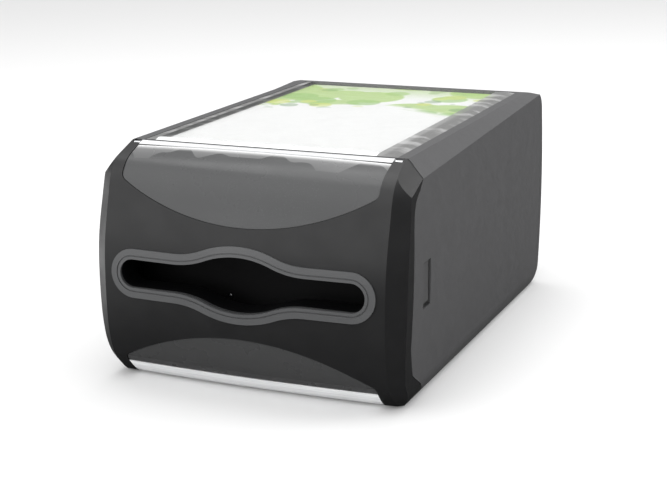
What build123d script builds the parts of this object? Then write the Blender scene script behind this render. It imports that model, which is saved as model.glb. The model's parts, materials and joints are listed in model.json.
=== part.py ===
from build123d import *
from math import atan, cos, sin
import os

# Countertop napkin dispenser, in millimetres. X runs across it, Y from its face to its back,
# Z up. The origin is on the counter, below the middle of the body.

# Overall body
rear_y = 153.0
face_y = -152.0
body_top = 144.1
foot_height = 1.5
wall = 3.0
top_wall = 4.5

# Section of the sleeve-shaped body
front_half_width = 99.85
rear_half_width = 99.4
widest_front_y = -137.0
bottom_front_half_width = 93.0
bottom_rear_half_width = 96.2
top_half_width = 88.9
fold_lean = 1.8
fold_front_z = 133.2
fold_rear_z = 142.2
tuck_height = 14.0
rear_top_radius = 12.0
rear_bottom_radius = 15.0

# Face of the hinged cover
face_bow = 3.0
bow_half_width = 90.0
bevel_half_width = 89.9
bevel_slope = 0.95
cover_gap = 0.8
top_gap = 1.2
top_seam_y = -109.2

# Clear panels and the slot of the cover
panel_half_width = 82.0
panel_side_top = 126.5
upper_arc_low = 104.1
lower_arc_high = 38.4
panel_side_low = 16.0
panel_thickness = 2.2
panel_recess = 0.5
panel_fit = 0.15
lip_depth = 6.1
lip_thickness = 1.5
chin_height = 10.1
bead_height = 4.1
slot_z = 71.2
slot_half_width = 78.4
slot_end_half_height = 8.7
slot_mid_half_height = 16.8
bulge_half_length = 42.0
bezel_width = 6.2
bezel_proud = 1.0
bezel_thickness = 2.2
groove_inset = 1.7
groove_width = 0.8
groove_depth = 0.6
collar_wall = 1.5

# Napkin tray and the plate behind the slot
napkin_width = 165.0
napkin_height = 104.0
napkin_side_room = 3.5
tray_headroom = 6.0
sheet_wall = 2.0
tray_floor_z = 15.0
tray_front_y = -112.0
faceplate_y = -135.0
faceplate_top = 114.0
plate_screw_length = 7.0
wing_gap = 1.5

# Pusher, its rails and its spring
pusher_y = -114.0
pusher_travel = 190.0
pusher_thickness = 3.0
carriage_length = 42.0
rail_x = 30.0
rail_width = 8.0
rail_height = 4.0
slide_room = 0.3
shoe_wall = 2.0
drum_radius = 11.0
drum_width = 21.0
axle_radius = 2.0
running_room = 0.05
strip_width = 18.0
strip_thickness = 0.25

# Top display pocket
window_margin = 6.8
window_rear_y = 136.0
window_thickness = 2.6
window_crown = 0.8
window_bevel = 4.0
card_half_width = 72.1
card_offset = -3.0
card_front_y = -102.0
card_rear_y = 135.3
card_thickness = 0.4
pocket_room = 0.3

# Cover hinge
hinge_inset = 2.9
hinge_drop = 2.6
pin_radius = 0.9
knuckle_radius = 2.0
knuckle_inset = 4.1
knuckle_width = 4.2
pin_length = 13.5
notch_room = 0.4
ledge_height = 3.1
cheek_inset = 0.9
cheek_roll_radius = 3.2
cheek_roll_room = 0.5

# Latches in the side walls
pad_rear_y = -100.6
pad_width = 11.0
pad_low_z = 57.4
pad_high_z = 83.8
pad_recess = 0.9
pad_room = 0.7
latch_travel = 2.5
pad_thickness = 3.4
guide_plate = 0.9
spring_closed = 1.45
latch_z = 71.0
nose_y = -127.0
catch_room = 0.4
spring_radius = 3.0
spring_wire = 0.5
spring_turns = 3

# Rear cover, base and fasteners
rear_seam_y = 147.0
seam = 0.3
base_front_y = -84.0
base_rear_y = 136.0
base_thickness = 2.0
foot_radius = 7.0
foot_x = 79.0
foot_front_y = -72.0
foot_rear_y = 126.0
screw_shank = 1.4
screw_head = 3.0
screw_head_height = 1.5
screw_room = 0.05
bumper_thickness = 1.7

# Stations past both ends of the body, between which the sleeve is lofted
loft_front_y = -165.0
loft_rear_y = 165.0
far = 400.0

tray_half_width = napkin_width / 2 + napkin_side_room
tray_outer_half = tray_half_width + sheet_wall
floor_top = tray_floor_z + sheet_wall
tray_top = floor_top + napkin_height + tray_headroom
drum_z = floor_top + 2 * strip_thickness + 0.1 + drum_radius
drum_y = pusher_y + pusher_thickness + 26.0
carriage_rear_y = pusher_y + pusher_thickness + carriage_length
bumper_front_y = carriage_rear_y + pusher_travel + slide_room
tray_rear_y = bumper_front_y + bumper_thickness + sheet_wall
ledge_top = body_top - lip_thickness
hinge_y = top_seam_y - hinge_inset
hinge_z = body_top - hinge_drop
knuckle_x = top_half_width - knuckle_inset
cheek_x = top_half_width - cheek_inset
window_half_width = top_half_width - window_margin
lip_front_y = top_seam_y - top_gap - lip_depth

# Points of the cover's side profile at mid width, as distance behind the face and height
profile_points = [
    (42.0, body_top + 1.0),
    (36.0, 143.6),
    (28.4, 140.8),
    (19.0, 136.3),
    (13.2, 130.0),
    (9.0, 118.0),
    (2.0, 90.0),
    (0.0, 60.0),
    (1.5, 32.0),
    (8.5, 13.5),
    (20.5, 1.5),
    (28.0, -3.0),
]

# Directions of that profile at its two ends
face_ends = [(0, -1, -0.2), (0, 1, -0.6)]

# Points of the seam between cover and body, seen from the side, from the top down
seam_points = [
    (top_seam_y, body_top + 8.0),
    (top_seam_y, body_top),
    (-108.8, 133.2),
    (-114.9, 127.8),
    (-119.1, 125.4),
    (-122.5, 122.5),
    (-125.6, 117.0),
    (-127.2, 109.0),
    (-129.9, 60.0),
    (-130.7, 38.2),
    (-127.8, 28.0),
    (-124.3, 19.8),
    (-116.5, 14.8),
    (-110.2, 11.0),
    (-98.0, foot_height),
    (-94.0, -3.0),
]


def block(x0, x1, y0, y1, z0, z1):
    """A box between two corners."""
    centre = Pos((x0 + x1) / 2, (y0 + y1) / 2, (z0 + z1) / 2)
    return centre * Box(abs(x1 - x0), abs(y1 - y0), abs(z1 - z0))


def rod(x, y, z, axis, radius, length):
    """A cylinder that starts at a point and runs along +X, +Y or +Z."""
    turn = {"x": Rotation(0, 90, 0), "y": Rotation(-90, 0, 0), "z": Rotation(0, 0, 0)}[axis]
    align = (Align.CENTER, Align.CENTER, Align.MIN)
    return Pos(x, y, z) * turn * Cylinder(radius, length, align=align)


def mirrored(shape):
    """The same piece on the other side of the body."""
    return mirror(shape, about=Plane.YZ)


def across(points, x0, x1):
    """Extrude a closed outline given as (y, z) points from x0 to x1."""
    outline = Polyline(*[(x0, y, z) for y, z in points], close=True)
    return extrude(make_face(outline), amount=x1 - x0, dir=(1, 0, 0))


def half_width_at(y):
    """Half width of the body at its widest height, which flares towards the face."""
    flare = (front_half_width - rear_half_width) / (rear_y - widest_front_y)
    return rear_half_width + (rear_y - y) * flare


def bottom_half_width_at(y):
    """Half width of the body's flat underside."""
    flare = (bottom_front_half_width - bottom_rear_half_width) / (rear_y - widest_front_y)
    return bottom_rear_half_width + (rear_y - y) * flare


def fold_z_at(y):
    """Height of the fold between side and top chamfer."""
    slope = (fold_rear_z - fold_front_z) / (rear_y - top_seam_y)
    return fold_front_z + (y - top_seam_y) * slope


def sleeve_section(y, inset, top_inset):
    """Cross-section of the body at station y, moved inwards by inset."""
    widest = half_width_at(y) - inset
    bottom_half = bottom_half_width_at(y)
    bottom = Vector(bottom_half - inset, y, foot_height + inset)
    tuck = Vector(widest - 0.37 * (half_width_at(y) - bottom_half), y, tuck_height)
    flatness = (fold_z_at(y) - fold_front_z) / (body_top - fold_front_z)
    drop = 0.4 * inset + flatness * (top_inset - 0.4 * inset)
    fold = Vector(widest - fold_lean, y, fold_z_at(y) - drop)
    crown = Vector(top_half_width - 0.6 * inset, y, body_top - top_inset)
    corner_mid = Vector(
        bottom.X + 0.7 * (tuck.X - bottom.X), y, bottom.Z + 0.4 * (tuck.Z - bottom.Z)
    )
    side_mid = Vector(widest, y, (tuck.Z + fold.Z) / 2)

    def flip(point):
        return Vector(-point.X, point.Y, point.Z)

    edges = [
        Line(flip(bottom), bottom),
        ThreePointArc(bottom, corner_mid, tuck),
        ThreePointArc(tuck, side_mid, fold),
        Line(fold, crown),
        Line(crown, flip(crown)),
        Line(flip(crown), flip(fold)),
        ThreePointArc(flip(fold), flip(side_mid), flip(tuck)),
        ThreePointArc(flip(tuck), flip(corner_mid), flip(bottom)),
    ]
    return make_face(Wire(edges))


def sleeve(inset, top_inset):
    """The flared body, longer than needed at both ends."""
    sections = [sleeve_section(y, inset, top_inset) for y in (loft_front_y, loft_rear_y)]
    return loft(sections, ruled=True)


def rear_rounding(inset):
    """A long block whose rear edges are rounded as the body's are."""
    shape = block(-far, far, -far, rear_y - inset, foot_height + inset, body_top + far)
    floor_edge = shape.edges().filter_by(Axis.X).group_by(Axis.Y)[-1].sort_by(Axis.Z)[0]
    shape = fillet(floor_edge, rear_bottom_radius - inset)
    corner_z = body_top - rear_top_radius
    corner = block(-far, far, rear_y - rear_top_radius, far, corner_z, far + body_top)
    arc = rod(-far, rear_y - rear_top_radius, corner_z, "x", rear_top_radius - inset, 2 * far)
    return shape - (corner - arc)


def face_curve(inset):
    """Side profile of the cover's face at mid width, moved inwards by inset."""
    points = [Vector(0, face_y + back, z) for back, z in profile_points]
    curve = Spline(*points, tangents=face_ends)
    if inset == 0:
        return curve
    moved = []
    for step in range(len(profile_points) + 3):
        at = step / (len(profile_points) + 2)
        direction = curve % at
        inward = Vector(0, -direction.Z, direction.Y)
        moved.append((curve @ at) + inward * inset)
    return Spline(*moved, tangents=face_ends)


def behind_face(inset):
    """Everything behind the bowed face."""
    curve = face_curve(inset)
    first, last = curve @ 0, curve @ 1
    back = 260.0
    edges = [
        curve,
        Line(last, (0, back, last.Z)),
        Line((0, back, last.Z), (0, back, first.Z)),
        Line((0, back, first.Z), first),
    ]
    bow_radius = bow_half_width**2 / (2 * face_bow)
    turn_axis = Axis((0, face_y + bow_radius, 0), (0, 0, 1))
    sweep_angle = 12.0
    profile = make_face(Wire(edges)).rotate(turn_axis, -sweep_angle / 2)
    return revolve(profile, axis=turn_axis, revolution_arc=sweep_angle)


def bevel_cutter(inset):
    """What the slanted strip beside the face takes off on the right-hand side."""
    curve = face_curve(0)
    reach = 30.0
    start_x = bevel_half_width - inset * 1.38 - reach
    shift = Vector(start_x, face_bow - reach * bevel_slope, 0)
    first, last = curve @ 0, curve @ 1
    front = face_y - 80.0
    edges = [
        curve,
        Line(last, (0, front, last.Z)),
        Line((0, front, last.Z), (0, front, first.Z + 30)),
        Line((0, front, first.Z + 30), (0, first.Y, first.Z + 30)),
        Line((0, first.Y, first.Z + 30), first),
    ]
    profile = make_face(Wire(edges)).moved(Location(shift))
    return extrude(profile, amount=2 * reach * 1.38, dir=(1, bevel_slope, 0))


def corner_facet(inset):
    """What the facet at the cover's top corner takes off on the right-hand side."""
    normal = Vector(0.757, -0.20, 0.62).normalized()
    corner_x = half_width_at(top_seam_y) - fold_lean
    at = Vector(corner_x + 0.2, top_seam_y, fold_front_z) - normal * inset
    chunk = 80.0
    facet = Plane(origin=at, z_dir=normal)
    return facet * Pos(0, 0, chunk / 2) * Box(chunk, chunk, chunk)


def envelope(inset, top_inset):
    """The whole outer form of the dispenser, moved inwards by inset."""
    body = sleeve(inset, top_inset) & rear_rounding(inset)
    body = body & behind_face(inset)
    for cutter in (bevel_cutter(inset), corner_facet(inset)):
        body = body - cutter - mirrored(cutter)
    return body


def side_of_seam(shift, front):
    """Everything in front of the cover's seam, or everything behind it."""
    end_y = -far if front else far
    line = [(y + shift, z) for y, z in seam_points]
    return across(line + [(end_y, line[-1][1]), (end_y, line[0][1])], -far, far)


def panel_outline(grow, upper):
    """Solid prism through the cover's face along one clear panel's outline."""
    half = panel_half_width + grow
    if upper:
        side_z, middle_z, end_z = panel_side_top - grow, upper_arc_low - grow, body_top + 20
    else:
        side_z, middle_z, end_z = panel_side_low + grow, lower_arc_high + grow, -20
    edges = [
        ThreePointArc((-half, 0, side_z), (0, 0, middle_z), (half, 0, side_z)),
        Line((half, 0, side_z), (half, 0, end_z)),
        Line((half, 0, end_z), (-half, 0, end_z)),
        Line((-half, 0, end_z), (-half, 0, side_z)),
    ]
    front, length = -250.0, 160.0
    prism = extrude(Pos(0, front, 0) * make_face(Wire(edges)), amount=length, dir=(0, 1, 0))
    corners = prism.edges().filter_by(Axis.Y)
    low_side = corners.filter_by_position(Axis.Z, side_z - 0.5, side_z + 0.5)
    return fillet(low_side, 5.0)


def slot_prism(grow, front, back):
    """Prism of the slot's long outline with its round middle, grown by a margin."""
    end = slot_end_half_height + grow
    middle = slot_mid_half_height + grow
    rise = slot_mid_half_height - slot_end_half_height
    turn = 2 * atan(rise / bulge_half_length)
    radius = bulge_half_length / (2 * sin(turn))
    crest_z = slot_mid_half_height - radius
    dip_z = slot_end_half_height + radius
    join = ((radius + grow) * sin(turn), crest_z + (radius + grow) * cos(turn))
    dip_middle = (bulge_half_length - (radius - grow) * sin(turn / 2),
                  dip_z - (radius - grow) * cos(turn / 2))
    end_x = slot_half_width - slot_end_half_height

    def quarter(side, up):
        def at(x, z):
            return (side * x, up * z)
        return [ThreePointArc(at(*join), at(*dip_middle), at(bulge_half_length, end)),
                Line(at(bulge_half_length, end), at(end_x, end))]

    edges = []
    for sign in (-1, 1):
        edges += quarter(sign, 1) + quarter(sign, -1)
        edges.append(ThreePointArc((-join[0], sign * join[1]), (0, sign * middle),
                                   (join[0], sign * join[1])))
        edges.append(ThreePointArc((sign * end_x, end), (sign * (end_x + end), 0),
                                   (sign * end_x, -end)))
    outline = make_face(Wire(edges))
    outline = Plane(origin=(0, front, slot_z), x_dir=(1, 0, 0), z_dir=(0, 1, 0)) * outline
    return extrude(outline, amount=back - front, dir=(0, 1, 0))


def screw(x, y, z, axis, length):
    """A pan-head screw whose head starts at the point, and whose shank follows it."""
    head = rod(x, y, z, axis, screw_head, screw_head_height)
    step = {"x": (1, 0, 0), "y": (0, 1, 0), "z": (0, 0, 1)}[axis]
    tip = Vector(x, y, z) + Vector(*step) * screw_head_height
    return head + rod(tip.X, tip.Y, tip.Z, axis, screw_shank, length)


def screw_hole(x, y, z, axis, length):
    """Clearance for a screw's shank."""
    return rod(x, y, z, axis, screw_shank + screw_room, length)


def spots(x, y_front, y_rear):
    """Four places, in pairs left and right."""
    return [(side * x, y) for side in (-1, 1) for y in (y_front, y_rear)]


outer = envelope(0, 0)
inner = envelope(wall, wall)
body_shell = outer - envelope(wall, top_wall)
cover_shell = (outer - inner) & side_of_seam(-cover_gap, True)

base_screw_spots = spots(80.0, -40.0, 95.0)
tray_screw_spots = spots(60.0, -60.0, 105.0)
rear_screw_spots = [(side * 82.0, z) for side in (-1, 1) for z in (24.0, 120.0)]
rear_boss_front_y = 133.0
plate_screw_spots = [(side * 70.0, z) for side in (-1, 1) for z in (32.0, 100.0)]
pusher_screw_spots = [(side * 24.0, z) for side in (-1, 1) for z in (36.0, 52.0)]
bracket_screw_y = top_seam_y + 9.4


def hinge_notch(inner_room=notch_room):
    """Room in the cover for a hinge bracket's eye, right-hand side."""
    half = knuckle_width / 2
    return block(knuckle_x - half - inner_room, knuckle_x + half + notch_room,
                 hinge_y - knuckle_radius - 0.7, bracket_screw_y, body_top - 9, body_top + 5)


def cheek_roll(radius, low_x, high_x):
    """Round bar about the hinge line at the cover's right-hand cheek."""
    return rod(low_x, hinge_y, hinge_z, "x", radius, high_x - low_x)


def bracket_top():
    """Height of the hinge bracket's arm, just under the body's top wall."""
    return body_top - top_wall - 0.3


def hinge_bracket():
    """Steel bracket under the body's top that holds a hinge pin, right-hand side."""
    low_x, high_x = knuckle_x - knuckle_width / 2, knuckle_x + knuckle_width / 2
    arm_top = bracket_top()
    arm_rear_y = bracket_screw_y + 6.0
    arm = block(low_x, high_x, hinge_y - knuckle_radius, arm_rear_y, arm_top - 2, arm_top)
    web = block(low_x, high_x, hinge_y - knuckle_radius, hinge_y + knuckle_radius,
                arm_top - 2, hinge_z)
    eye = rod(low_x, hinge_y, hinge_z, "x", knuckle_radius, knuckle_width)
    hole = rod(low_x - 1, hinge_y, hinge_z, "x", pin_radius, knuckle_width + 2)
    screw_way = screw_hole(knuckle_x, bracket_screw_y, arm_top - 3, "z", 4)
    return arm + web + eye - hole - screw_way


def hinge_pin():
    """Steel pin from the bracket's eye into the cover's ledge, right-hand side."""
    outer_end = knuckle_x + knuckle_width / 2
    return rod(outer_end - pin_length, hinge_y, hinge_z, "x", pin_radius, pin_length)


def bracket_screw():
    """Screw that holds a hinge bracket up to the body's top, right-hand side."""
    arm_bottom = bracket_top() - 2
    return screw(knuckle_x, bracket_screw_y, arm_bottom - screw_head_height, "z", 4.8)


def latch_wall_x():
    """Outer face of the body's side wall at the latch pad."""
    return half_width_at(pad_rear_y - pad_width / 2)


def guide_back_x():
    """Face of the right-hand latch guide that the return spring bears on."""
    return tray_outer_half + 0.1 + guide_plate


def latch_button():
    """Pad, arm and nose of the right-hand latch, moulded in one."""
    face_x = latch_wall_x() - pad_recess
    pad_back_x = face_x - pad_thickness
    inner_x = guide_back_x() + spring_closed + latch_travel
    pad_front_y = pad_rear_y - pad_width
    pad = block(pad_back_x, face_x, pad_front_y, pad_rear_y, pad_low_z, pad_high_z)
    pad = chamfer(pad.faces().sort_by(Axis.X)[-1].edges(), 0.6)
    body = block(inner_x, pad_back_x, pad_front_y - 1.5, pad_rear_y + 1.0,
                 pad_low_z + 3, pad_high_z - 3)
    arm = block(inner_x, pad_back_x - 0.6, nose_y, pad_front_y - 1.5, latch_z - 4, latch_z + 4)
    return pad + body + arm


def latch_window():
    """Opening in the right-hand side wall for the latch pad."""
    return block(80.0, 120.0, pad_rear_y - pad_width - pad_room, pad_rear_y + pad_room,
                 pad_low_z - pad_room, pad_high_z + pad_room)


def latch_guide():
    """Bracket on the tray's wall that the right-hand latch slides in."""
    back_x = guide_back_x() - guide_plate
    front_y = pad_rear_y - pad_width - 2.4
    rear_edge = pad_rear_y + 1.8
    reach_x = latch_wall_x() - wall - 0.7
    plate = block(back_x, guide_back_x(), front_y, rear_edge, pad_low_z - 4, pad_high_z + 4)
    lower = block(back_x, reach_x, front_y, rear_edge, pad_low_z - 4, pad_low_z - 1.2)
    upper = block(back_x, reach_x, front_y, rear_edge, pad_high_z + 1.2, pad_high_z + 4)
    return plate + lower + upper


def latch_spring():
    """Return spring behind the right-hand latch, as a stack of round turns."""
    start_x = guide_back_x()
    y = pad_rear_y - pad_width / 2
    length = spring_closed + latch_travel
    sleeve_tube = rod(start_x, y, latch_z, "x", spring_radius - spring_wire / 2, length)
    sleeve_tube -= rod(start_x, y, latch_z, "x", spring_radius - spring_wire, length)
    for turn in range(spring_turns + 1):
        x = start_x + spring_wire + turn * (length - 2 * spring_wire) / spring_turns
        ring = Pos(x, y, latch_z) * Rotation(0, 90, 0) * Torus(spring_radius, spring_wire)
        sleeve_tube += ring
    return sleeve_tube


def housing_shell():
    """Sleeve-shaped body with a pocket in its top and an open underside."""
    shell = body_shell
    for x, y in base_screw_spots:
        way = rod(x, y, foot_height - 1, "z", screw_head + screw_room, 1 + screw_head_height)
        shell -= way + screw_hole(x, y, foot_height, "z", wall + 1)
    for x, y in spots(foot_x, foot_front_y, foot_rear_y):
        shell -= rod(x, y, foot_height - 1, "z", 2.5 + screw_room, wall + 2)
    shell = shell & side_of_seam(0, False)
    shell = shell & block(-far, far, -far, rear_seam_y, -far, far)
    recess = cheek_roll(cheek_roll_radius + cheek_roll_room, cheek_x - 1.0, cheek_x + 5.0)
    shell = shell - recess - mirrored(recess)
    shell -= block(-window_half_width - pocket_room, window_half_width + pocket_room,
                   top_seam_y + 1.0, window_rear_y + pocket_room,
                   body_top - window_thickness + window_crown - card_thickness, body_top + 5)
    shell -= block(-70.0, 70.0, -70.0, 132.0, -1, foot_height + wall + 1)
    bosses = []
    for x, z in rear_screw_spots:
        side = 1 if x > 0 else -1
        inner_x, outer_x = x - side * 4.0, x + side * 20.0
        bosses.append(block(inner_x, outer_x, rear_boss_front_y, rear_seam_y - 0.1, z - 4, z + 4))
    shell += (bosses[0] + bosses[1] + bosses[2] + bosses[3]) & envelope(wall / 2, wall / 2)
    for x, z in rear_screw_spots:
        shell -= screw_hole(x, rear_boss_front_y - 1, z, "y", 20)
    window = latch_window()
    shell = shell - window - mirrored(window)
    for side in (-1, 1):
        shell -= rod(side * knuckle_x, bracket_screw_y, body_top - top_wall - 1, "z",
                     screw_shank + screw_room, 4.2)
    return shell


def rear_cover():
    """Panel with a rounded rim that closes the back of the body."""
    panel = (outer - inner) & block(-far, far, rear_seam_y + seam, far, -far, far)
    for x, z in rear_screw_spots:
        panel -= screw_hole(x, rear_seam_y, z, "y", 20)
        panel -= rod(x, rear_y - screw_head_height, z, "y", screw_head + screw_room, 5)
    return panel


def rear_screws():
    """Four screws through the rear cover into the body's bosses."""
    group = []
    for x, z in rear_screw_spots:
        head = rod(x, rear_y - screw_head_height, z, "y", screw_head, screw_head_height)
        shank = rod(x, rear_y - screw_head_height - 12, z, "y", screw_shank, 12)
        group.append(head + shank)
    return Compound(children=group)


def base_plate():
    """Steel plate inside the underside, which carries the napkin tray."""
    floor = foot_height + wall
    plate = block(-86.0, 86.0, base_front_y, base_rear_y, floor, floor + base_thickness)
    plate = fillet(plate.edges().filter_by(Axis.Z), 6.0)
    for x, y in base_screw_spots:
        plate -= screw_hole(x, y, floor - 1, "z", base_thickness + 2)
    for x, y in tray_screw_spots:
        plate -= screw_hole(x, y, floor - 1, "z", base_thickness + 2)
    return plate


def base_screws():
    """Four screws up through the body's underside into the base plate."""
    length = wall - screw_head_height + base_thickness
    return Compound(children=[screw(x, y, foot_height, "z", length) for x, y in base_screw_spots])


def foot_pads():
    """Four rubber feet, each plugged into a hole in the underside."""
    group = []
    for x, y in spots(foot_x, foot_front_y, foot_rear_y):
        pad = rod(x, y, 0, "z", foot_radius, foot_height)
        pad = fillet(pad.edges().sort_by(Axis.Z)[0], 0.6)
        group.append(pad + rod(x, y, foot_height, "z", 2.5, wall))
    return Compound(children=group)


def napkin_tray():
    """Open channel that holds the stack of folded napkins."""
    outer_box = block(-tray_outer_half, tray_outer_half, tray_front_y, tray_rear_y,
                      tray_floor_z, tray_top)
    hollow = block(-tray_half_width, tray_half_width, tray_front_y - 1,
                   tray_rear_y - sheet_wall, floor_top, tray_top + 1)
    tray = outer_box - hollow
    floor = foot_height + wall + base_thickness
    for x, y in tray_screw_spots:
        tray += rod(x, y, floor, "z", 4.0, tray_floor_z - floor)
        tray -= screw_hole(x, y, floor - 1, "z", 9)
    return tray


def tray_screws():
    """Four screws up through the base plate into the tray's legs."""
    z = foot_height + wall - screw_head_height
    return Compound(children=[screw(x, y, z, "z", 9) for x, y in tray_screw_spots])


def guide_rail():
    """Right-hand rail on the tray's floor."""
    rail = block(rail_x - rail_width / 2, rail_x + rail_width / 2, tray_front_y + 4,
                 tray_rear_y - sheet_wall - 2, floor_top, floor_top + rail_height)
    return chamfer(rail.edges().filter_by(Axis.Y).group_by(Axis.Z)[-1], 0.6)


def rear_bumper():
    """Rubber strip that stops the pusher at the back of the tray."""
    back = tray_rear_y - sheet_wall
    strip = block(-22.0, 22.0, bumper_front_y, back, floor_top + 5.5, floor_top + 12)
    return fillet(strip.edges().filter_by(Axis.Z), 0.6)


def insert_card():
    """Printed card that lies in the top pocket, a little off centre."""
    z = body_top - window_thickness + window_crown - card_thickness
    return block(card_offset - card_half_width, card_offset + card_half_width,
                 card_front_y, card_rear_y, z, z + card_thickness)


def top_window():
    """Clear cover plate over the card, with wide bevelled edges."""
    front = top_seam_y + 1.0 + pocket_room
    edge_z = body_top - 0.2
    top = body_top + window_crown
    plate = block(-window_half_width, window_half_width, front, window_rear_y,
                  top - window_thickness, edge_z)
    width, depth = 2 * window_half_width, window_rear_y - front
    middle_y = (front + window_rear_y) / 2
    low = Pos(0, middle_y, edge_z) * Rectangle(width, depth)
    high = Pos(0, middle_y, top) * Rectangle(width - 2 * window_bevel, depth - 2 * window_bevel)
    return plate + loft([low, high], ruled=True)


def cover_frame():
    """Black frame of the hinged cover: posts, waisted middle band and ledges."""
    frame = cover_shell
    frame = frame - panel_outline(0, True) - panel_outline(0, False)
    ledge_half = cheek_x - 0.3
    top_ledge = block(-ledge_half, ledge_half, lip_front_y + 0.2, top_seam_y - top_gap,
                      ledge_top - ledge_height, ledge_top)
    chin_ledge = block(-panel_half_width - 3, panel_half_width + 3, -137.0, -128.0,
                       foot_height + wall + 0.1, foot_height + 7.0)
    frame += top_ledge & envelope(1.0, 1.0)
    frame += chin_ledge & envelope(wall - 0.3, wall - 0.3)
    notch = hinge_notch(notch_room + 0.6)
    frame = frame - notch - mirrored(notch)
    roll = cheek_roll(cheek_roll_radius, cheek_x - 0.55, cheek_x + 4.2) & outer
    frame = frame + roll + mirrored(roll)
    for side in (-1, 1):
        x = side * knuckle_x
        inner_end = x - side * pin_length
        frame -= rod(min(x, inner_end), hinge_y, hinge_z, "x", pin_radius + running_room,
                     pin_length)
    frame -= slot_prism(collar_wall + 0.1, -170, -130)
    frame -= slot_prism(bezel_width + 0.1, -170, -130) - envelope(bezel_thickness - bezel_proud,
                                                               bezel_thickness)
    tip_y = faceplate_y - plate_screw_length
    for x, z in plate_screw_spots:
        frame += rod(x, -148.0, z, "y", 4.0, 148.0 + faceplate_y) & envelope(1.5, 1.5)
        frame -= screw_hole(x, tip_y - 0.3, z, "y", plate_screw_length + 1)
    return frame


def clear_layer():
    """Thin layer just under the cover's outer face, in which the clear panels lie."""
    layer = envelope(panel_recess, panel_recess)
    return layer - envelope(panel_recess + panel_thickness, panel_recess + panel_thickness)


def upper_panel():
    """Smoked panel above the waisted band, which rolls over at its top."""
    panel = clear_layer() & panel_outline(-panel_fit, True)
    return panel & block(-far, far, -far, lip_front_y, -far, far)


def upper_lip():
    """Pale strip along the cover's top edge."""
    strip = outer & block(-panel_half_width + panel_fit, panel_half_width - panel_fit,
                          lip_front_y + 0.2, top_seam_y - top_gap, ledge_top, far)
    rear_edge = strip.edges().filter_by(Axis.X).group_by(Axis.Z)[-1].sort_by(Axis.Y)[-1]
    strip = chamfer(rear_edge, 0.9)
    return strip - hinge_notch() - mirrored(hinge_notch())


def lower_panel():
    """Smoked panel below the waisted band."""
    panel = clear_layer() & panel_outline(-panel_fit, False)
    return panel & block(-far, far, -far, far, foot_height + chin_height + bead_height, far)


def chin_layer(low_z, high_z, recess):
    """Part of the cover's bottom lip between two heights."""
    layer = envelope(recess, recess) - envelope(wall - 0.4, wall - 0.4)
    layer = layer & side_of_seam(-cover_gap - 12.0, True)
    layer = layer & panel_outline(-panel_fit, False)
    return layer & block(-far, far, -far, far, low_z, high_z)


def lower_bead():
    """Narrow strip between the lower panel and the lip."""
    return chin_layer(foot_height + chin_height + 0.3,
                      foot_height + chin_height + bead_height - 0.1, 0.6)


def lower_lip():
    """Pale lip along the cover's bottom edge."""
    return chin_layer(-5.0, foot_height + chin_height, 0.2)


def slot_bezel():
    """Raised rim round the slot, with a collar back to the plate behind."""
    flange = envelope(-bezel_proud, 0) - envelope(bezel_thickness - bezel_proud, 0)
    flange = flange & slot_prism(bezel_width, -170, -130)
    collar = slot_prism(collar_wall, -149.0, faceplate_y - 0.1)
    collar = collar & envelope(0.5, 0.5)
    groove = slot_prism(groove_inset + groove_width, -170, -130)
    groove = groove - slot_prism(groove_inset, -170, -130)
    groove = groove - envelope(groove_depth - bezel_proud, 0)
    ring = flange + collar - groove
    return ring - slot_prism(0, -170, -130)


def inner_faceplate():
    """Plate with side wings and a shelf, against which the napkins rest."""
    plate = block(-tray_outer_half, tray_outer_half, faceplate_y, faceplate_y + sheet_wall,
                  tray_floor_z, faceplate_top)
    plate = plate - slot_prism(0.2, -170, -100)
    wing_end = tray_front_y - wing_gap
    wing = block(tray_half_width, tray_outer_half, faceplate_y, wing_end, tray_floor_z,
                 faceplate_top)
    shelf = block(-tray_outer_half, tray_outer_half, faceplate_y, wing_end, tray_floor_z,
                  floor_top)
    plate = plate + wing + mirrored(wing) + shelf
    for x, z in plate_screw_spots:
        plate -= screw_hole(x, faceplate_y - 1, z, "y", sheet_wall + 2)
    return plate


def faceplate_screws():
    """Four screws through the inner plate into the cover's posts."""
    group = []
    back = faceplate_y + sheet_wall
    length = plate_screw_length + sheet_wall
    for x, z in plate_screw_spots:
        head = rod(x, back, z, "y", screw_head, screw_head_height)
        group.append(head + rod(x, back - length, z, "y", screw_shank, length))
    return Compound(children=group)


def cover_catch():
    """Striker on the cover's right-hand cheek, beside the latch's nose."""
    arm_face_x = latch_wall_x() - pad_recess - pad_thickness - 0.6
    tab_x = arm_face_x + catch_room
    tab = block(tab_x, tab_x + 1.4, -134.0, nose_y + 8.0, latch_z - 6, latch_z + 6)
    foot = block(tab_x, 110.0, -138.0, -132.0, latch_z - 9, latch_z + 9)
    return (tab + foot) & envelope(wall + 0.05, wall + 0.05)


def pusher_plate():
    """Ribbed plate that presses the napkins towards the slot."""
    half = tray_half_width - 2.0
    back = pusher_y + pusher_thickness
    low_z = floor_top + rail_height + 1.0
    plate = block(-half, half, pusher_y, back, low_z, floor_top + napkin_height)
    plate = fillet(plate.edges().filter_by(Axis.Y), 8.0)
    for x in (-66.0, -44.0, 44.0, 66.0):
        plate += block(x - 1, x + 1, back, back + 3, floor_top + 12, floor_top + 94)
    for x, z in pusher_screw_spots:
        plate -= screw_hole(x, pusher_y - 1, z, "y", pusher_thickness + 2)
    return plate


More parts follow.
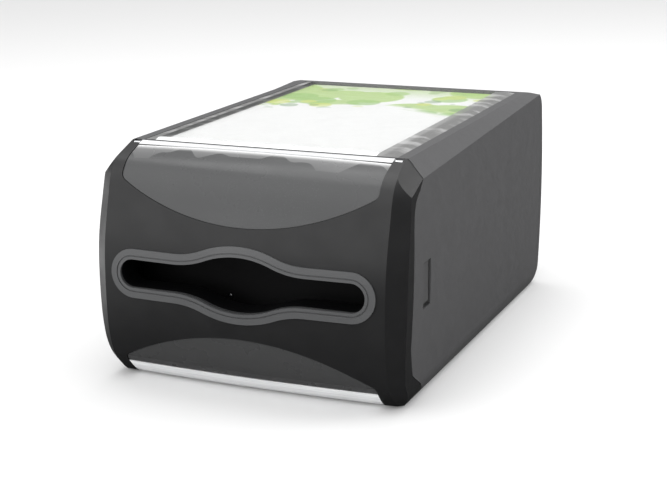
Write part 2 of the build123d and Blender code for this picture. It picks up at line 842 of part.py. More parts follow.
def pusher_carriage():
    """Sled behind the plate, with ears for the spring drum's axle."""
    front = pusher_y + pusher_thickness
    deck_z = floor_top + rail_height + slide_room + 1.2
    deck = block(-40.0, 40.0, front, carriage_rear_y, deck_z, deck_z + 2.5)
    upright = block(-36.0, 36.0, front, front + 2.5, deck_z, 60.0)
    ears = block(-16.0, 16.0, drum_y - 8, drum_y + 8, deck_z, drum_z + 6)
    gussets = block(-36.0, -33.5, front, front + 20, deck_z, 44.0)
    gussets += mirrored(gussets)
    drum_room = block(-drum_width / 2 - 1, drum_width / 2 + 1, drum_y - drum_radius - 1.5,
                      drum_y + drum_radius + 1.5, -far, far)
    carriage = deck + ears - drum_room + upright + gussets
    carriage -= rod(-20, drum_y, drum_z, "x", axle_radius, 40)
    for x, z in pusher_screw_spots:
        carriage -= screw_hole(x, front - 1, z, "y", 5)
    return carriage


def pusher_shoe():
    """Right-hand shoe that straddles its rail under the sled."""
    deck_z = floor_top + rail_height + slide_room + 1.2
    half = rail_width / 2 + slide_room
    front = pusher_y + pusher_thickness + 1
    shoe = block(rail_x - half - shoe_wall, rail_x + half + shoe_wall, front,
                 carriage_rear_y - 1, floor_top + 0.4, deck_z)
    return shoe - block(rail_x - half, rail_x + half, front - 1, carriage_rear_y,
                        floor_top - 1, floor_top + rail_height + slide_room)


def pusher_screws():
    """Four screws that join plate and sled."""
    group = []
    back = pusher_y + pusher_thickness + 2.5
    for x, z in pusher_screw_spots:
        head = rod(x, back, z, "y", screw_head, screw_head_height)
        group.append(head + rod(x, back - 5.0, z, "y", screw_shank, 5.0))
    return Compound(children=group)


def pusher_handle():
    """Grip on the plate's upper edge, for pulling it back to load."""
    back = pusher_y + pusher_thickness
    z = floor_top + napkin_height - 14
    stem = block(-18.0, 18.0, back, back + 9.0, z, z + 3.0)
    lip = block(-18.0, 18.0, back + 6.5, back + 9.0, z, z + 12.0)
    grip = stem + lip
    return fillet(grip.edges().filter_by(Axis.Z), 0.8)


def drum_axle():
    """Steel axle pressed into the sled's ears."""
    return rod(-17.0, drum_y, drum_z, "x", axle_radius, 34.0)


def spring_drum():
    """Flanged drum that the flat spring winds on."""
    half = drum_width / 2
    hub = rod(-half, drum_y, drum_z, "x", drum_radius - 0.2, drum_width)
    flanges = rod(-half, drum_y, drum_z, "x", drum_radius, 1.2)
    flanges += rod(half - 1.2, drum_y, drum_z, "x", drum_radius, 1.2)
    for step in range(6):
        angle = 60 * step
        hole = rod(-half - 1, drum_y, drum_z + 6.5, "x", 1.6, drum_width + 2)
        hub -= hole.rotate(Axis((0, drum_y, drum_z), (1, 0, 0)), angle)
        flanges -= hole.rotate(Axis((0, drum_y, drum_z), (1, 0, 0)), angle)
    bore = rod(-half - 1, drum_y, drum_z, "x", axle_radius + running_room, drum_width + 2)
    return hub + flanges - bore


def strip_anchor():
    """Clip at the tray's front that holds the end of the flat spring."""
    return block(-12.0, 12.0, tray_front_y + 0.2, tray_front_y + 4, floor_top, floor_top + 1.5)


def spring_strip():
    """Flat steel spring along the tray's floor, from its clip to the drum."""
    return block(-strip_width / 2, strip_width / 2, tray_front_y + 4, drum_y,
                 floor_top + strip_thickness, floor_top + 2 * strip_thickness)


os.makedirs("parts", exist_ok=True)

single_pieces = {
    "housing_shell": housing_shell,
    "rear_cover": rear_cover,
    "rear_cover_screws": rear_screws,
    "base_plate": base_plate,
    "base_screws": base_screws,
    "foot_pads": foot_pads,
    "napkin_tray": napkin_tray,
    "tray_screws": tray_screws,
    "rear_bumper": rear_bumper,
    "insert_card": insert_card,
    "top_window": top_window,
    "cover_frame": cover_frame,
    "upper_panel": upper_panel,
    "upper_lip": upper_lip,
    "lower_panel": lower_panel,
    "lower_bead": lower_bead,
    "lower_lip": lower_lip,
    "slot_bezel": slot_bezel,
    "inner_faceplate": inner_faceplate,
    "faceplate_screws": faceplate_screws,
    "pusher_plate": pusher_plate,
    "pusher_carriage": pusher_carriage,
    "pusher_screws": pusher_screws,
    "pusher_handle": pusher_handle,
    "drum_axle": drum_axle,
    "spring_drum": spring_drum,
    "strip_anchor": strip_anchor,
    "spring_strip": spring_strip,
}

paired_pieces = {
    "guide_rail": guide_rail,
    "hinge_bracket": hinge_bracket,
    "hinge_pin": hinge_pin,
    "bracket_screw": bracket_screw,
    "latch_button": latch_button,
    "latch_guide": latch_guide,
    "latch_spring": latch_spring,
    "cover_catch": cover_catch,
    "pusher_shoe": pusher_shoe,
}

for name, make in single_pieces.items():
    export_step(make(), f"parts/{name}.step")
for name, make in paired_pieces.items():
    right_piece = make()
    export_step(right_piece, f"parts/{name}_right.step")
    export_step(mirrored(right_piece), f"parts/{name}_left.step")
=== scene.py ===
import bpy
import bmesh
import json
import math
from mathutils import Matrix, Vector


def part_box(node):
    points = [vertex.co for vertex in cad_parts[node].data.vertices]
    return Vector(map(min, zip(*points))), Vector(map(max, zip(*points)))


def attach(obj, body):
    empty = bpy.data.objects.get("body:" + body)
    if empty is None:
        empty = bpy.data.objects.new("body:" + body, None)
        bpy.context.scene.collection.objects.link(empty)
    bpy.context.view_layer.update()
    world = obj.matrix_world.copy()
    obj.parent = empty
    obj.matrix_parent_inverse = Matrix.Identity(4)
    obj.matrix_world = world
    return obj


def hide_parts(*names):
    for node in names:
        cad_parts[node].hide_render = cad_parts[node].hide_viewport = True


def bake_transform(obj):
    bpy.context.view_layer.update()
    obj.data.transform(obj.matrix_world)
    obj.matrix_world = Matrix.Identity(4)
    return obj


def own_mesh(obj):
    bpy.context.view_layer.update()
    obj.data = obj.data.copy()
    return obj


# Countertop napkin dispenser: its finishes, its finer pieces and a plain studio. Lengths are in
# metres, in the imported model's frame: X across it, Y from its face to its back, Z up.

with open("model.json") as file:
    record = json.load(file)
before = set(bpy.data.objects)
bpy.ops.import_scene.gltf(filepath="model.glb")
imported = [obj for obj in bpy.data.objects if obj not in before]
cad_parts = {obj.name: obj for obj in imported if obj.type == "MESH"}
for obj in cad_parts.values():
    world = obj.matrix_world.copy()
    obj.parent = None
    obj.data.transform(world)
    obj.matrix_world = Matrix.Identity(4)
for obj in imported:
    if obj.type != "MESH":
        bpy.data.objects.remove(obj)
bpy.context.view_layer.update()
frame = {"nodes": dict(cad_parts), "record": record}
nodes = frame["nodes"]
mm = 0.001


# Photograph's camera: its place and aim in metres, its roll in degrees, its lens in millimetres

camera_place = (0.35805, -0.85931, 0.30947)
camera_aim = (-0.00874, 0.01274, 0.05571)
camera_roll = -0.54
camera_lens = 77.41
camera_sensor = 36.0


def photo_camera():
    """Camera at the photograph's place, with a slight roll."""
    position = Vector(camera_place)
    roll = math.radians(camera_roll)
    ahead = (Vector(camera_aim) - position).normalized()
    level_right = ahead.cross(Vector((0, 0, 1))).normalized()
    level_up = level_right.cross(ahead)
    right = level_right * math.cos(roll) + level_up * math.sin(roll)
    up = level_up * math.cos(roll) - level_right * math.sin(roll)
    data = bpy.data.cameras.new("photo_view")
    data.lens = camera_lens
    data.sensor_width = camera_sensor
    data.clip_start = 0.01
    camera = bpy.data.objects.new("photo_view", data)
    turn = Matrix((right, up, -ahead)).transposed().to_4x4()
    camera.matrix_world = Matrix.Translation(position) @ turn
    bpy.context.scene.collection.objects.link(camera)
    bpy.context.scene.camera = camera


# Building blocks for materials

class Finish:
    """A node material with one Principled shader, filled in step by step."""

    def __init__(self, name, colour, roughness, **sockets):
        self.material = bpy.data.materials.new(name)
        self.material.use_nodes = True
        self.tree = self.material.node_tree
        self.shader = self.tree.nodes["Principled BSDF"]
        self.shader.inputs["Base Color"].default_value = (*colour, 1)
        self.shader.inputs["Roughness"].default_value = roughness
        for socket, value in sockets.items():
            self.shader.inputs[socket.replace("_", " ")].default_value = value
        self.place = self.add("ShaderNodeTexCoord").outputs["Object"]
        self.last_normal = None

    def add(self, kind, inputs=None, **settings):
        node = self.tree.nodes.new(kind)
        for key, value in settings.items():
            setattr(node, key, value)
        for key, value in (inputs or {}).items():
            if isinstance(value, bpy.types.NodeSocket):
                self.tree.links.new(value, node.inputs[key])
            else:
                node.inputs[key].default_value = value
        return node

    def link(self, output, socket):
        self.tree.links.new(output, self.shader.inputs[socket])

    def noise(self, grain, detail=2.0, stretch=None, roughness=0.5):
        """Noise whose features are about grain metres across, stretched along an axis if asked."""
        place = self.place
        if stretch:
            place = self.add("ShaderNodeMapping", {"Vector": place, "Scale": stretch}).outputs[0]
        node = self.add("ShaderNodeTexNoise", {
            "Vector": place, "Scale": 1 / grain, "Detail": detail, "Roughness": roughness})
        return node.outputs["Fac"]

    def between(self, value, low, high, out_low=0.0, out_high=1.0, smooth=False):
        """Remap value from low..high to out_low..out_high, and clamp it."""
        node = self.add("ShaderNodeMapRange", {
            "Value": value, "From Min": low, "From Max": high,
            "To Min": out_low, "To Max": out_high})
        node.interpolation_type = "SMOOTHSTEP" if smooth else "LINEAR"
        return node.outputs["Result"]

    def maths(self, operation, first, second=0.0, third=0.0):
        node = self.add("ShaderNodeMath", operation=operation)
        for slot, value in enumerate((first, second, third)):
            if isinstance(value, bpy.types.NodeSocket):
                self.tree.links.new(value, node.inputs[slot])
            else:
                node.inputs[slot].default_value = value
        return node.outputs[0]

    def mix(self, amount, first, second):
        """Blend two colours, each a socket or three numbers."""
        node = self.add("ShaderNodeMix", data_type="RGBA")
        for slot, value in ((0, amount), (6, first), (7, second)):
            if isinstance(value, bpy.types.NodeSocket):
                self.tree.links.new(value, node.inputs[slot])
            elif slot == 0:
                node.inputs[slot].default_value = value
            else:
                node.inputs[slot].default_value = (*value, 1)
        return node.outputs[2]

    def axis(self, letter):
        node = self.add("ShaderNodeSeparateXYZ", {"Vector": self.place})
        return node.outputs[letter]

    def bump(self, height, depth, strength=1.0):
        """Relief of the given depth in metres, stacked on any relief already there."""
        inputs = {"Height": height, "Distance": depth, "Strength": strength}
        if self.last_normal:
            inputs["Normal"] = self.last_normal
        self.last_normal = self.add("ShaderNodeBump", inputs).outputs["Normal"]
        self.link(self.last_normal, "Normal")

    def mottle(self, colour, spread, grain):
        """Slight light and dark variation of the base colour."""
        light = [min(1.0, c * (1 + spread)) for c in colour]
        dark = [c * (1 - spread) for c in colour]
        amount = self.between(self.noise(grain, 3.0), 0.35, 0.65)
        self.link(self.mix(amount, dark, light), "Base Color")

    def uneven_gloss(self, low, high, grain):
        self.link(self.between(self.noise(grain, 4.0), 0.35, 0.65, low, high), "Roughness")


tone_patch = 9 * mm
gloss_patch = 14 * mm


def moulded(name, colour, roughness, grain=0.45 * mm, relief=0.03 * mm, spread=0.05, **sockets):
    """Injection-moulded plastic with a spark-eroded texture."""
    finish = Finish(name, colour, roughness, **sockets)
    finish.mottle(colour, spread, tone_patch)
    finish.uneven_gloss(roughness - 0.04, roughness + 0.05, gloss_patch)
    finish.bump(finish.noise(grain, 3.0, roughness=0.6), relief)
    return finish


def plated(name, colour, roughness, along="x"):
    """Zinc-plated steel with faint drawing lines along one axis."""
    finish = Finish(name, colour, roughness, Metallic=1.0)
    stretch = {"x": (0.06, 1, 1), "y": (1, 0.06, 1), "z": (1, 1, 0.06)}[along]
    lines = finish.noise(0.35 * mm, 2.0, stretch=stretch)
    finish.mottle(colour, 0.10, 3 * mm)
    finish.link(finish.between(lines, 0.3, 0.7, roughness - 0.08, roughness + 0.10), "Roughness")
    finish.bump(lines, 0.01 * mm)
    return finish


# Building blocks for pieces

def seat(name, shape, body, finish, replaced=(), sharp=35):
    """Make a bmesh a piece, smooth where faces meet at under sharp degrees, and give it a body."""
    mesh = bpy.data.meshes.new(name)
    shape.to_mesh(mesh)
    shape.free()
    mesh.shade_smooth()
    mesh.set_sharp_from_angle(angle=math.radians(sharp))
    mesh.materials.append(finish.material)
    thing = bpy.data.objects.new(name, mesh)
    bpy.context.scene.collection.objects.link(thing)
    if body:
        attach(thing, body)
    if replaced:
        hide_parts(*replaced)
    return thing


def islands(node):
    """Lowest and highest corner of each separate solid in a CAD node."""
    shape = bmesh.new()
    shape.from_mesh(nodes[node].data)
    bmesh.ops.remove_doubles(shape, verts=shape.verts, dist=0.002 * mm)
    left = set(shape.verts)
    boxes = []
    while left:
        reach = [left.pop()]
        found = []
        while reach:
            vert = reach.pop()
            found.append(vert.co.copy())
            for edge in vert.link_edges:
                other = edge.other_vert(vert)
                if other in left:
                    left.remove(other)
                    reach.append(other)
        low = Vector([min(v[i] for v in found) for i in range(3)])
        high = Vector([max(v[i] for v in found) for i in range(3)])
        boxes.append((low, high))
    shape.free()
    return sorted(boxes, key=lambda pair: tuple(pair[0]))


def turned(points, steps):
    """Closed shape turned about Z from a profile of (radius, z) points that ends on the axis."""
    shape = bmesh.new()
    verts = [shape.verts.new((radius, 0, z)) for radius, z in points]
    edges = [shape.edges.new(pair) for pair in zip(verts, verts[1:])]
    bmesh.ops.spin(shape, geom=verts + edges, cent=(0, 0, 0), axis=(0, 0, 1),
                   angle=2 * math.pi, steps=steps, use_merge=True)
    bmesh.ops.remove_doubles(shape, verts=shape.verts, dist=0.001 * mm)
    bmesh.ops.recalc_face_normals(shape, faces=shape.faces)
    return shape


def carve(shape, tool):
    """Take one closed shape out of another."""
    things = []
    for part in (shape, tool):
        mesh = bpy.data.meshes.new("carving")
        part.to_mesh(mesh)
        part.free()
        thing = bpy.data.objects.new("carving", mesh)
        bpy.context.scene.collection.objects.link(thing)
        things.append(thing)
    cut = things[0].modifiers.new("cut", "BOOLEAN")
    cut.operation = "DIFFERENCE"
    cut.solver = "EXACT"
    cut.object = things[1]
    bpy.context.view_layer.update()
    graph = bpy.context.evaluated_depsgraph_get()
    result = bmesh.new()
    mesh = bpy.data.meshes.new_from_object(things[0].evaluated_get(graph))
    result.from_mesh(mesh)
    bpy.data.meshes.remove(mesh)
    for thing in things:
        bpy.data.meshes.remove(thing.data)
    return result


# Fasteners and springs

head_radius = 3.0 * mm
head_height = 1.5 * mm
crest_radius = 1.4 * mm
root_radius = 1.1 * mm
thread_pitch = 0.8 * mm
point_radius = 0.5 * mm
point_height = 0.5 * mm
screw_sides = 20
cross_width = 0.62 * mm
cross_span = 3.2 * mm
cross_depth = 0.8 * mm
turn_per_metre = 137.5 / mm
wire_radius = 0.42 * mm
wire_sides = 8
spring_turns = 4
steps_per_turn = 24
strip_steps = 12


def screw_shape(length):
    """Pan-head screw with a cross recess, head downwards from z = 0, thread up to the length."""
    dome = [(0, 0), (1.4 * mm, 0.02 * mm), (2.2 * mm, 0.16 * mm), (2.75 * mm, 0.5 * mm)]
    points = dome + [(head_radius, 1.0 * mm), (head_radius, head_height),
                     (root_radius, head_height)]
    z = head_height
    while z + 1.6 * thread_pitch < length:
        points += [(root_radius, z + 0.25 * thread_pitch), (crest_radius, z + 0.5 * thread_pitch),
                   (crest_radius, z + 0.6 * thread_pitch), (root_radius, z + 0.85 * thread_pitch)]
        z += thread_pitch
    points += [(root_radius, length - point_height), (point_radius, length - 0.05 * mm),
               (0, length)]
    shape = turned(points, screw_sides)
    for wide, deep in ((cross_span, cross_width), (cross_width, cross_span)):
        bar = bmesh.new()
        size = Matrix.Diagonal((wide, deep, 2 * cross_depth, 1))
        bmesh.ops.create_cube(bar, size=1.0, matrix=size)
        shape = carve(shape, bar)
    return shape


def fit_screws(node, body, heading):
    """Replace a node's plain screws by finished ones; heading points from head to tip."""
    whole = bmesh.new()
    axis = Vector(heading)
    turn = Vector((0, 0, 1)).rotation_difference(axis).to_matrix().to_4x4()
    shapes = {}
    for low, high in islands(node):
        size = high - low
        length = abs(size.dot(axis))
        middle = (low + high) / 2
        start = middle - axis * length / 2
        key = round(length, 5)
        if key not in shapes:
            mesh = bpy.data.meshes.new("screw")
            shape = screw_shape(length)
            shape.to_mesh(mesh)
            shape.free()
            shapes[key] = mesh
        part = bmesh.new()
        part.from_mesh(shapes[key])
        spin = Matrix.Rotation(turn_per_metre * (start.x + start.y), 4, "Z")
        bmesh.ops.transform(part, matrix=Matrix.Translation(start) @ turn @ spin, verts=part.verts)
        mesh = bpy.data.meshes.new("placed")
        part.to_mesh(mesh)
        part.free()
        whole.from_mesh(mesh)
        bpy.data.meshes.remove(mesh)
    for mesh in shapes.values():
        bpy.data.meshes.remove(mesh)
    return seat(node + "_fine", whole, body, screw_steel, (node,), sharp=30)


def fit_latch_spring(side):
    """Wound return spring of a latch, as a helix of wire in place of the plain one."""
    node = "latch_spring_" + side
    low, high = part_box(node)
    middle = (Vector(low) + Vector(high)) / 2
    radius = (high[1] - low[1]) / 2 - wire_radius
    length = high[0] - low[0] - 2 * wire_radius
    steps = spring_turns * steps_per_turn
    shape = bmesh.new()
    ring = bmesh.ops.create_circle(shape, segments=wire_sides, radius=wire_radius,
                                   cap_ends=False)["verts"]
    place = Matrix.Translation((low[0] + wire_radius, middle.y, middle.z + radius))
    bmesh.ops.transform(shape, verts=ring, matrix=place @ Matrix.Rotation(math.pi / 2, 4, "X"))
    edges = list(shape.edges)
    bmesh.ops.spin(shape, geom=ring + edges, cent=middle, axis=(1, 0, 0),
                   angle=spring_turns * 2 * math.pi, steps=steps, dvec=(length / steps, 0, 0))
    rims = [edge for edge in shape.edges if edge.is_boundary]
    bmesh.ops.holes_fill(shape, edges=rims, sides=0)
    bmesh.ops.recalc_face_normals(shape, faces=shape.faces)
    spring = seat(node + "_fine", shape, "housing", spring_steel, (node,))
    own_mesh(spring)


def fit_spring_strip():
    """Flat spring strip of the drum, cut into steps along its length in place of the plain one."""
    low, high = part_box("spring_strip")
    middle = (Vector(low) + Vector(high)) / 2
    size = Vector(high) - Vector(low)
    shape = bmesh.new()
    bmesh.ops.create_cube(shape, size=1.0, matrix=Matrix.Translation(middle)
                          @ Matrix.Diagonal((size.x, size.y, size.z, 1)))
    long_edges = [edge for edge in shape.edges
                  if abs((edge.verts[0].co - edge.verts[1].co).y) > size.y / 2]
    bmesh.ops.subdivide_edges(shape, edges=long_edges, cuts=strip_steps, use_grid_fill=True)
    strip = seat("spring_strip_fine", shape, None, spring_steel, ("spring_strip",))
    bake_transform(strip)


# Studio: lengths in metres, powers in watts

sky_low, sky_high = 0.22, 0.75
front_glow = 1.6
front_glow_from = (-0.39, -0.85, 0.36)
floor_half = 8.0
floor_seen = 0.72
floor_lift = 0.08
floor_bounce = 0.85
floor_mirrored = 0.08
floor_mirrored_rear_left = 0.75
softboxes = (
    ("overhead_softbox", (-0.1, 0.1, 1.6), (0, 0, 0.1), 1.6, 19.0),
    ("side_softbox", (1.7, 0.9, 1.0), (0, 0, 0.08), 1.2, 19.0),
)


def studio():
    """White surroundings, pale floor and soft lamps."""
    white_air()
    pale_floor()
    for name, place, aim, width, power in softboxes:
        data = bpy.data.lights.new(name, "AREA")
        data.shape = "SQUARE"
        data.size = width
        data.energy = power
        lamp = bpy.data.objects.new(name, data)
        lamp.location = place
        lamp.rotation_euler = (Vector(aim) - Vector(place)).to_track_quat("-Z", "Y").to_euler()
        bpy.context.scene.collection.objects.link(lamp)


def white_air():
    """Sky that the camera sees as plain white, and the object as brighter towards the front."""
    world = bpy.data.worlds.new("studio_air")
    bpy.context.scene.world = world
    world.use_nodes = True
    tree = world.node_tree
    background = tree.nodes["Background"]
    background.inputs["Color"].default_value = (1, 1, 1, 1)
    paths = tree.nodes.new("ShaderNodeLightPath")
    place = tree.nodes.new("ShaderNodeTexCoord")

    def toward(direction, low, high, dim, bright):
        """Strength that rises from dim to bright as the sky is seen nearer to a direction."""
        likeness = tree.nodes.new("ShaderNodeVectorMath")
        likeness.operation = "DOT_PRODUCT"
        tree.links.new(place.outputs["Generated"], likeness.inputs[0])
        likeness.inputs[1].default_value = Vector(direction).normalized()
        span = tree.nodes.new("ShaderNodeMapRange")
        span.interpolation_type = "SMOOTHSTEP"
        for key, value in (("From Min", low), ("From Max", high), ("To Min", dim),
                           ("To Max", bright)):
            span.inputs[key].default_value = value
        tree.links.new(likeness.outputs["Value"], span.inputs["Value"])
        return span.outputs["Result"]

    total = tree.nodes.new("ShaderNodeMath")
    total.operation = "ADD"
    tree.links.new(toward((0, 0, 1), -0.1, 1.0, sky_low, sky_high), total.inputs[0])
    tree.links.new(toward(front_glow_from, 0.45, 1.0, 0.0, front_glow), total.inputs[1])
    strength = tree.nodes.new("ShaderNodeMix")
    strength.inputs["B"].default_value = 1.0
    tree.links.new(paths.outputs["Is Camera Ray"], strength.inputs["Factor"])
    tree.links.new(total.outputs[0], strength.inputs["A"])
    tree.links.new(strength.outputs["Result"], background.inputs["Strength"])


def grey(level):
    return (level, level, level)


def pale_floor():
    """Floor that keeps the object's shadow, and is dim where its face would mirror it."""
    mesh = bpy.data.meshes.new("floor")
    shape = bmesh.new()
    bmesh.ops.create_grid(shape, x_segments=1, y_segments=1, size=floor_half)
    shape.to_mesh(mesh)
    shape.free()
    floor = bpy.data.objects.new("floor", mesh)
    bpy.context.scene.collection.objects.link(floor)
    finish = Finish("floor_white", grey(floor_seen), 0.9, Specular_IOR_Level=0.0)
    rays = finish.add("ShaderNodeLightPath").outputs
    seen = rays["Is Camera Ray"]
    rear_left = finish.between(finish.axis("X"), -0.10, -0.35, smooth=True)
    mirrored = finish.mix(rear_left, grey(floor_mirrored), grey(floor_mirrored_rear_left))
    bounce = finish.mix(rays["Is Diffuse Ray"], mirrored, grey(floor_bounce))
    finish.link(finish.mix(seen, bounce, grey(floor_seen)), "Base Color")
    finish.shader.inputs["Emission Color"].default_value = (1, 1, 1, 1)
    finish.link(finish.maths("MULTIPLY", seen, floor_lift), "Emission Strength")
    mesh.materials.append(finish.material)


def wear(names, finish):
    """Give CAD nodes a finish."""
    for name in names:
        slots = nodes[name].data.materials
        slots.clear()
        slots.append(finish.material)


# Finishes of the object's own pieces

# Painted reflection on the upper panel under its top strip: how far the pale fade reaches, and the
# shortest and longest reach of its pale patches
reflection_fade_reach = 5.0 * mm
reflection_patch_short, reflection_patch_long = 2.5 * mm, 13 * mm
# Painted shade in the slot's throat: the depth behind the bezel's front where it begins and where
# it is full black
throat_shade_start, throat_shade_full = 3.6 * mm, 4.8 * mm
latch_rear_line, latch_low_line, line_blend = 2.6 * mm, 2.4 * mm, 0.4 * mm
card_edge, card_edge_sway = 30 * mm, 11 * mm
card_tints = (
    (44 * mm, 0.62, (0.34, 0.47, 0.17), 0.90),
    (33 * mm, 0.48, (0.25, 0.41, 0.13), 0.75),
    (25 * mm, 0.36, (0.47, 0.52, 0.13), 0.70),
    (20 * mm, 0.32, (0.13, 0.25, 0.10), 0.55),
)
card_wash = (0.33, 0.46, 0.16)


def panel_finish(name, colour, painted_reflection=False):
    """Glossy smoked plastic with fine sparkle; if asked, a painted reflection makes it pale where
    it runs under the top strip.
    """
    finish = Finish(name, colour, 0.30, Specular_IOR_Level=0.35)
    sparkle = finish.between(finish.noise(0.55 * mm, 1.0), 0.60, 0.72)
    cloud = finish.between(finish.noise(45 * mm, 2.0), 0.40, 0.62)
    amount = finish.maths("MULTIPLY", sparkle, cloud)
    base = finish.mix(amount, colour, [c * 1.35 for c in colour])
    if painted_reflection:
        # Painted reflection: a pale fade from the top strip's front and ragged pale patches under
        # it stand in for light mirrored by the glossy panel
        ahead = finish.maths("SUBTRACT", lip_front, finish.axis("Y"))
        shade = finish.between(ahead, 0.0, reflection_fade_reach, 1.0, 0.0)
        shade = finish.maths("POWER", shade, 2.2)
        streak = finish.noise(30 * mm, 1.0, stretch=(1, 0, 0))
        reach = finish.between(streak, 0.42, 0.62, reflection_patch_short, reflection_patch_long)
        patch = finish.maths("LESS_THAN", ahead, reach)
        soft = finish.between(ahead, 2.0 * mm, reflection_patch_long, 0.16, 0.03)
        base = finish.mix(finish.maths("MULTIPLY", patch, soft), base, (0.80, 0.80, 0.80))
        base = finish.mix(shade, base, (0.86, 0.86, 0.86))
    finish.link(base, "Base Color")
    finish.uneven_gloss(0.24, 0.34, 30 * mm)
    finish.bump(finish.noise(0.4 * mm, 2.0), 0.008 * mm)
    return finish


def bezel_finish():
    """Satin grey rim with painted shade that turns it black inside the slot."""
    colour = (0.072, 0.073, 0.075)
    finish = moulded("bezel_grey", colour, 0.38, relief=0.015 * mm)
    # Painted shade: deeper than the bezel's front the colour runs to black and the specular fades,
    # standing in for the dark inside the slot
    depth = finish.between(finish.axis("Y"), bezel_front + throat_shade_start,
                           bezel_front + throat_shade_full)
    finish.link(finish.mix(depth, colour, (0.004, 0.004, 0.0044)), "Base Color")
    finish.link(finish.between(depth, 0.0, 1.0, 0.5, 0.1), "Specular IOR Level")
    return finish


def latch_finish():
    """Body-coloured pad with a dark shadow line along its rear and lower edges."""
    colour = (0.066, 0.066, 0.067)
    finish = moulded("latch_grey", colour, 0.45)
    rear_line, low_line = pad_high[1] - latch_rear_line, pad_low[2] + latch_low_line
    rear = finish.between(finish.axis("Y"), rear_line, rear_line + line_blend)
    low = finish.between(finish.axis("Z"), low_line, low_line - line_blend)
    edge = finish.maths("MAXIMUM", rear, low)
    finish.link(finish.mix(edge, colour, (0.006, 0.006, 0.006)), "Base Color")
    return finish


def printed_card():
    """White coated card whose rear third carries overlapping round tints of green."""
    white = (0.66, 0.664, 0.66)
    finish = Finish("printed_card", white, 0.42, Specular_IOR_Level=0.3)
    across = finish.axis("X")
    along = finish.axis("Y")
    colour = white
    for grain, threshold, tint, strength in card_tints:
        shifted = finish.add("ShaderNodeMapping", {
            "Vector": finish.place, "Location": (grain * 7, grain * 3, 0), "Scale": (1, 1, 0)})
        cells = finish.add("ShaderNodeTexVoronoi", {
            "Vector": shifted.outputs[0], "Scale": 1 / grain, "Randomness": 0.8})
        disc = finish.between(cells.outputs["Distance"], threshold, threshold + 0.035, 1.0, 0.0)
        wave = finish.maths("SINE", finish.maths("MULTIPLY_ADD", across, 46.0, 1.3))
        edge = finish.maths("MULTIPLY_ADD", wave, card_edge_sway, card_edge)
        edge = finish.maths("ADD", edge, grain * 0.55)
        inside = finish.between(finish.maths("SUBTRACT", along, edge), -3 * mm, 5 * mm)
        amount = finish.maths("MULTIPLY", finish.maths("MULTIPLY", disc, inside), strength)
        colour = finish.mix(amount, colour, tint)
    wash = finish.between(along, 92 * mm, 126 * mm, 0.0, 0.55)
    finish.link(finish.mix(wash, colour, card_wash), "Base Color")
    finish.uneven_gloss(0.36, 0.48, 12 * mm)
    finish.bump(finish.noise(0.3 * mm, 2.0), 0.004 * mm)
    return finish


def window_finish():
    """Clear plastic plate whose margins beside the card are frosted."""
    finish = Finish("clear_window", (0.95, 0.96, 0.96), 0.07)
    across = finish.axis("X")
    left = finish.maths("LESS_THAN", across, card_low_x)
    right = finish.maths("GREATER_THAN", across, card_high_x)
    margin = finish.maths("ADD", left, right)
    front = finish.between(finish.axis("Y"), card_front, card_front + 1.5 * mm, 1.0, 0.0)
    patches = finish.noise(16 * mm, 2.0, stretch=(0.4, 1, 1))
    glow = finish.between(patches, 0.50, 0.60, 0.0, 1.0)
    frosted = finish.mix(glow, (0.20, 0.20, 0.198), (0.40, 0.40, 0.40))
    base = finish.mix(margin, (0.95, 0.96, 0.96), frosted)
    clear_front = finish.maths("MULTIPLY", front, finish.maths("SUBTRACT", 1.0, margin))
    opacity = finish.maths("MULTIPLY_ADD", margin, 0.77, 0.06)
    finish.link(finish.maths("MULTIPLY_ADD", clear_front, 0.72, opacity), "Alpha")
    finish.link(base, "Base Color")
    finish.link(finish.between(margin, 0.0, 1.0, 0.07, 0.30), "Roughness")
    finish.bump(finish.noise(60 * mm, 1.0), 0.05 * mm)
    return finish


def strip_finish():
    """Milky glossy strip along the cover's top edge."""
    finish = Finish("pale_strip", (0.66, 0.664, 0.67), 0.25)
    finish.mottle((0.66, 0.664, 0.67), 0.012, 20 * mm)
    finish.uneven_gloss(0.20, 0.30, 10 * mm)
    finish.bump(finish.noise(8 * mm, 1.0), 0.02 * mm)
    return finish


def lip_finish():
    """Milky glossy lip with fine draw lines along it."""
    finish = Finish("pale_lip", (0.90, 0.91, 0.92), 0.26)
    lines = finish.noise(1.1 * mm, 1.0, stretch=(0.002, 1, 1))
    shade = finish.mix(finish.between(lines, 0.40, 0.62), (0.80, 0.81, 0.82), (0.93, 0.935, 0.94))
    finish.link(shade, "Base Color")
    finish.bump(lines, 0.02 * mm)
    return finish


# The scene, put together

photo_camera()
studio()
bpy.context.scene.view_settings.view_transform = "Standard"

lip_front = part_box("upper_lip")[0][1]
card_low_x, card_high_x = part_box("insert_card")[0][0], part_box("insert_card")[1][0]
card_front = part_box("insert_card")[0][1]
bezel_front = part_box("slot_bezel")[0][1]
pad_low, pad_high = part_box("latch_button_right")

# Finishes by piece

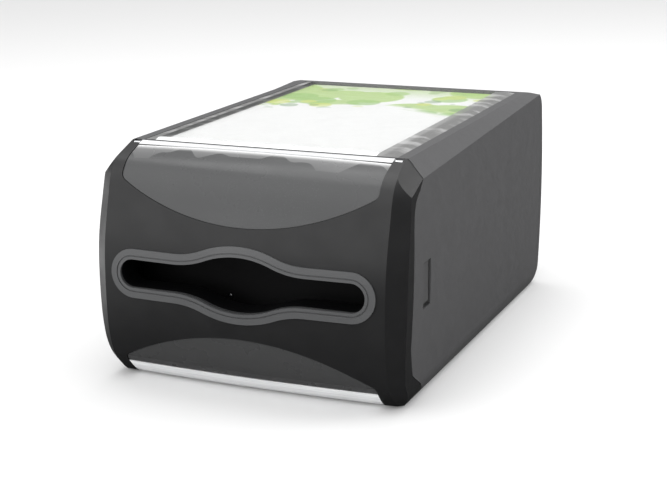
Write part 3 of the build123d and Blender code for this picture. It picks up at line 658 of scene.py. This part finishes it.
body_grey = moulded("moulded_grey", (0.072, 0.072, 0.074), 0.50, spread=0.02)
cover_black = moulded("cover_black", (0.0105, 0.0105, 0.011), 0.38, relief=0.010 * mm,
                      Specular_IOR_Level=0.36)
bezel_grey = bezel_finish()
# The upper panel carries the painted reflection under its top strip
upper_smoke = panel_finish("upper_smoke", (0.058, 0.059, 0.060), painted_reflection=True)
# Painted shade: the lower panel gets the upper panel's smoked plastic made darker, standing in for
# the lesser light that reaches it
shaded_lower_smoke = panel_finish("shaded_lower_smoke", (0.045, 0.0455, 0.046))
bead_grey = moulded("bead_grey", (0.055, 0.055, 0.056), 0.3, relief=0.01 * mm)
tray_black = moulded("tray_black", (0.004, 0.004, 0.0044), 0.55, Specular_IOR_Level=0.15)
latch_grey = latch_finish()
drum_white = moulded("drum_white", (0.62, 0.62, 0.59), 0.4)
plate_steel = plated("plate_steel", (0.56, 0.57, 0.58), 0.32)
screw_steel = plated("screw_steel", (0.50, 0.51, 0.52), 0.30)
spring_steel = plated("spring_steel", (0.60, 0.60, 0.61), 0.22, along="y")
rubber = moulded("foot_rubber", (0.018, 0.018, 0.018), 0.75)

slots = {m["node"]: m["material_slot"] for m in frame["record"]["subparts"]}
by_slot = {
    "body_grey": body_grey, "cover_black": cover_black, "bezel_black": bezel_grey,
    "smoked_panel": upper_smoke, "pale_lip": strip_finish(), "clear_window": window_finish(),
    "card_paper": printed_card(), "tray_black": tray_black, "latch_grey": latch_grey,
    "drum_white": drum_white, "plate_steel": plate_steel, "screw_steel": screw_steel,
    "spring_steel": spring_steel, "foot_rubber": rubber,
}
for name, slot in slots.items():
    wear([name], by_slot[slot])
# The lower panel wears the darker, shaded copy of the smoked plastic
wear(["lower_panel"], shaded_lower_smoke)
wear(["lower_bead"], bead_grey)
wear(["lower_lip"], lip_finish())

# Finer pieces in place of plain ones

for node, body, heading in (
    ("rear_cover_screws", "housing", (0, -1, 0)), ("base_screws", "housing", (0, 0, 1)),
    ("tray_screws", "housing", (0, 0, 1)), ("faceplate_screws", "front_cover", (0, -1, 0)),
    ("pusher_screws", "pusher", (0, -1, 0)), ("bracket_screw_left", "housing", (0, 0, 1)),
    ("bracket_screw_right", "housing", (0, 0, 1)),
):
    fit_screws(node, body, heading)
for side in ("left", "right"):
    fit_latch_spring(side)
fit_spring_strip()
